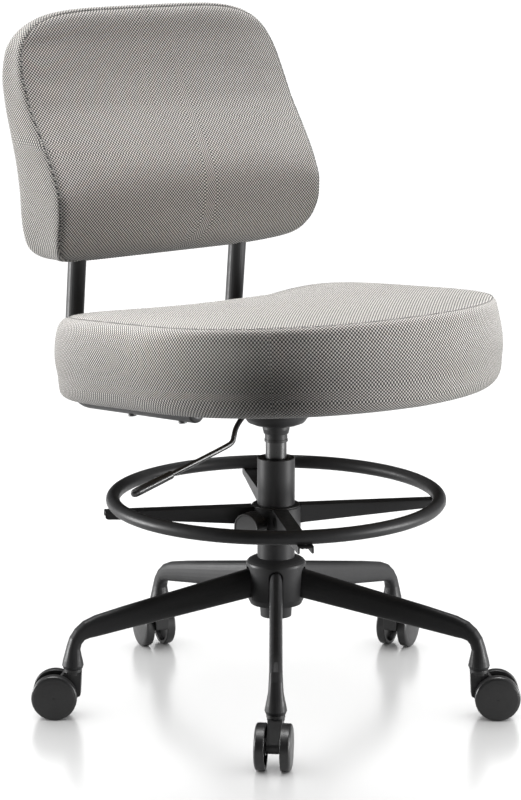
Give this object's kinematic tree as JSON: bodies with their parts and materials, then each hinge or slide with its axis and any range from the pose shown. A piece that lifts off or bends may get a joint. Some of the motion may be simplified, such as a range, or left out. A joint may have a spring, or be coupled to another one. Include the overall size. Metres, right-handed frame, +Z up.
{
  "type": "drafting chair",
  "caption": "Armless drafting chair: upholstered seat and back on a swivelling gas lift, with a sliding foot ring, height lever and five-legged base on twin-wheel casters.",
  "frame": {"origin": "on the floor under the column axis", "axes": "+Z up; the sitter faces -Y and the sitter's left is +X"},
  "size_m": [0.6467, 0.6431, 0.913],
  "materials": {
    "black_steel": "matte black powder coat",
    "cylinder_steel": "satin black",
    "lever_steel": "satin black",
    "black_nylon": "fine-grained moulded nylon",
    "wheel_nylon": "smooth moulded nylon",
    "grip_plastic": "glossy moulded plastic",
    "bright_steel": "zinc-plated",
    "black_bolts": "blackened",
    "plywood": "raw plywood",
    "fabric": "two-tone basket-weave upholstery"
  },
  "bodies": {
    "base": {"base_hub": "black_steel", "leg_1": "black_steel", "leg_2": "black_steel", "leg_3": "black_steel", "leg_4": "black_steel", "leg_5": "black_steel", "column_tube": "black_steel", "guide_bush": "black_nylon", "thrust_bearing": "bright_steel"},
    "caster_1_swivel_body": {"caster_1_stem": "bright_steel", "caster_1_body": "black_nylon", "caster_1_axle": "bright_steel"},
    "caster_1_wheel_a_body": {"caster_1_wheel_a": "wheel_nylon"},
    "caster_1_wheel_b_body": {"caster_1_wheel_b": "wheel_nylon"},
    "caster_2_swivel_body": {"caster_2_stem": "bright_steel", "caster_2_body": "black_nylon", "caster_2_axle": "bright_steel"},
    "caster_2_wheel_a_body": {"caster_2_wheel_a": "wheel_nylon"},
    "caster_2_wheel_b_body": {"caster_2_wheel_b": "wheel_nylon"},
    "caster_3_swivel_body": {"caster_3_stem": "bright_steel", "caster_3_body": "black_nylon", "caster_3_axle": "bright_steel"},
    "caster_3_wheel_a_body": {"caster_3_wheel_a": "wheel_nylon"},
    "caster_3_wheel_b_body": {"caster_3_wheel_b": "wheel_nylon"},
    "caster_4_swivel_body": {"caster_4_stem": "bright_steel", "caster_4_body": "black_nylon", "caster_4_axle": "bright_steel"},
    "caster_4_wheel_a_body": {"caster_4_wheel_a": "wheel_nylon"},
    "caster_4_wheel_b_body": {"caster_4_wheel_b": "wheel_nylon"},
    "caster_5_swivel_body": {"caster_5_stem": "bright_steel", "caster_5_body": "black_nylon", "caster_5_axle": "bright_steel"},
    "caster_5_wheel_a_body": {"caster_5_wheel_a": "wheel_nylon"},
    "caster_5_wheel_b_body": {"caster_5_wheel_b": "wheel_nylon"},
    "lift_rod": {"piston_rod": "bright_steel", "retaining_clip": "bright_steel"},
    "seat": {"gas_cylinder": "cylinder_steel", "taper_socket": "black_steel", "seat_plate": "black_steel", "seat_board": "plywood", "seat_cushion": "fabric", "post_left": "black_steel", "post_right": "black_steel", "rail_plugs": "black_nylon", "frame_bolts": "black_bolts", "back_board": "plywood", "back_cushion": "fabric"},
    "button": {"valve_button": "bright_steel"},
    "lever": {"lever_rod": "lever_steel", "lever_grip": "grip_plastic"},
    "ring_slider": {"ring_bushes": "black_nylon"},
    "ring": {"ring_collar": "black_steel", "foot_ring": "black_steel", "ring_arm_1": "black_steel", "ring_arm_2": "black_steel", "ring_arm_3": "black_steel", "ring_arm_4": "black_steel", "arm_screws": "bright_steel"},
    "stud": {"knob_stud": "bright_steel"},
    "clamp_knob": {"knob": "black_nylon"}
  },
  "joints": [
    {"name": "caster_1_swivel", "type": "hinge", "parent": "base", "child": "caster_1_swivel_body", "pos_m": [-0.173, -0.22143, 0.06], "axis": [0, 0, 1], "continuous": true},
    {"name": "caster_1_roll_a", "type": "hinge", "parent": "caster_1_swivel_body", "child": "caster_1_wheel_a_body", "pos_m": [-0.1778, -0.25016, 0.03], "axis": [0.7193, -0.6947, 0], "continuous": true},
    {"name": "caster_1_roll_b", "type": "hinge", "parent": "caster_1_swivel_body", "child": "caster_1_wheel_b_body", "pos_m": [-0.20154, -0.22723, 0.03], "axis": [0.7193, -0.6947, 0], "continuous": true},
    {"name": "caster_2_swivel", "type": "hinge", "parent": "base", "child": "caster_2_swivel_body", "pos_m": [0.15713, -0.23296, 0.06], "axis": [0, 0, 1], "continuous": true},
    {"name": "caster_2_roll_a", "type": "hinge", "parent": "caster_2_swivel_body", "child": "caster_2_wheel_a_body", "pos_m": [0.1862, -0.23473, 0.03], "axis": [0.6157, 0.788, 0], "continuous": true},
    {"name": "caster_2_roll_b", "type": "hinge", "parent": "caster_2_swivel_body", "child": "caster_2_wheel_b_body", "pos_m": [0.16589, -0.26074, 0.03], "axis": [0.6157, 0.788, 0], "continuous": true},
    {"name": "caster_3_swivel", "type": "hinge", "parent": "base", "child": "caster_3_swivel_body", "pos_m": [0.27011, 0.07745, 0.06], "axis": [0, 0, 1], "continuous": true},
    {"name": "caster_3_roll_a", "type": "hinge", "parent": "caster_3_swivel_body", "child": "caster_3_wheel_a_body", "pos_m": [0.28356, 0.10329, 0.03], "axis": [-0.4695, 0.8829, 0], "continuous": true},
    {"name": "caster_3_roll_b", "type": "hinge", "parent": "caster_3_swivel_body", "child": "caster_3_wheel_b_body", "pos_m": [0.29905, 0.07415, 0.03], "axis": [-0.4695, 0.8829, 0], "continuous": true},
    {"name": "caster_4_swivel", "type": "hinge", "parent": "base", "child": "caster_4_swivel_body", "pos_m": [0.00981, 0.28083, 0.06], "axis": [0, 0, 1], "continuous": true},
    {"name": "caster_4_roll_a", "type": "hinge", "parent": "caster_4_swivel_body", "child": "caster_4_wheel_a_body", "pos_m": [-0.0004, 0.30811, 0.03], "axis": [-0.9703, 0.2419, 0], "continuous": true},
    {"name": "caster_4_roll_b", "type": "hinge", "parent": "caster_4_swivel_body", "child": "caster_4_wheel_b_body", "pos_m": [0.03162, 0.30012, 0.03], "axis": [-0.9703, 0.2419, 0], "continuous": true},
    {"name": "caster_5_swivel", "type": "hinge", "parent": "base", "child": "caster_5_swivel_body", "pos_m": [-0.26405, 0.09611, 0.06], "axis": [0, 0, 1], "continuous": true},
    {"name": "caster_5_roll_a", "type": "hinge", "parent": "caster_5_swivel_body", "child": "caster_5_wheel_a_body", "pos_m": [-0.29312, 0.09788, 0.03], "axis": [-0.6157, -0.788, 0], "continuous": true},
    {"name": "caster_5_roll_b", "type": "hinge", "parent": "caster_5_swivel_body", "child": "caster_5_wheel_b_body", "pos_m": [-0.27281, 0.12389, 0.03], "axis": [-0.6157, -0.788, 0], "continuous": true},
    {"name": "seat_swivel", "type": "hinge", "parent": "base", "child": "lift_rod", "pos_m": [0, 0, 0.2], "axis": [0, 0, 1], "continuous": true},
    {"name": "seat_lift", "type": "slide", "parent": "lift_rod", "child": "seat", "axis": [0, 0, 1], "range_m": [0, 0.135]},
    {"name": "lever_lift", "type": "hinge", "parent": "seat", "child": "lever", "pos_m": [-0.034, 0, 0.406], "axis": [0, 1, 0], "range_deg": [0, 6], "stiffness_Nm_per_rad": 2, "springref_deg": -5.73},
    {"name": "button_press", "type": "slide", "parent": "seat", "child": "button", "axis": [0, 0, 1], "range_m": [-0.0038, 0]},
    {"name": "ring_slide", "type": "slide", "parent": "base", "child": "ring_slider", "axis": [0, 0, 1], "range_m": [-0.02, 0.02]},
    {"name": "ring_turn", "type": "hinge", "parent": "ring_slider", "child": "ring", "pos_m": [0, 0, 0.243], "axis": [0, 0, 1], "continuous": true},
    {"name": "stud_advance", "type": "slide", "parent": "ring", "child": "stud", "axis": [-0.9588, -0.284, 0], "range_m": [0, 0.003]},
    {"name": "knob_turn", "type": "hinge", "parent": "stud", "child": "clamp_knob", "pos_m": [-0.04794, -0.0142, 0.247], "axis": [-0.9588, -0.284, 0], "range_deg": [0, 720]}
  ],
  "couplings": [
    {"joint": "button_press", "follows": "lever_lift", "m_per_rad": -0.035332},
    {"joint": "knob_turn", "follows": "stud_advance", "rad_per_m": 4188.8}
  ]
}
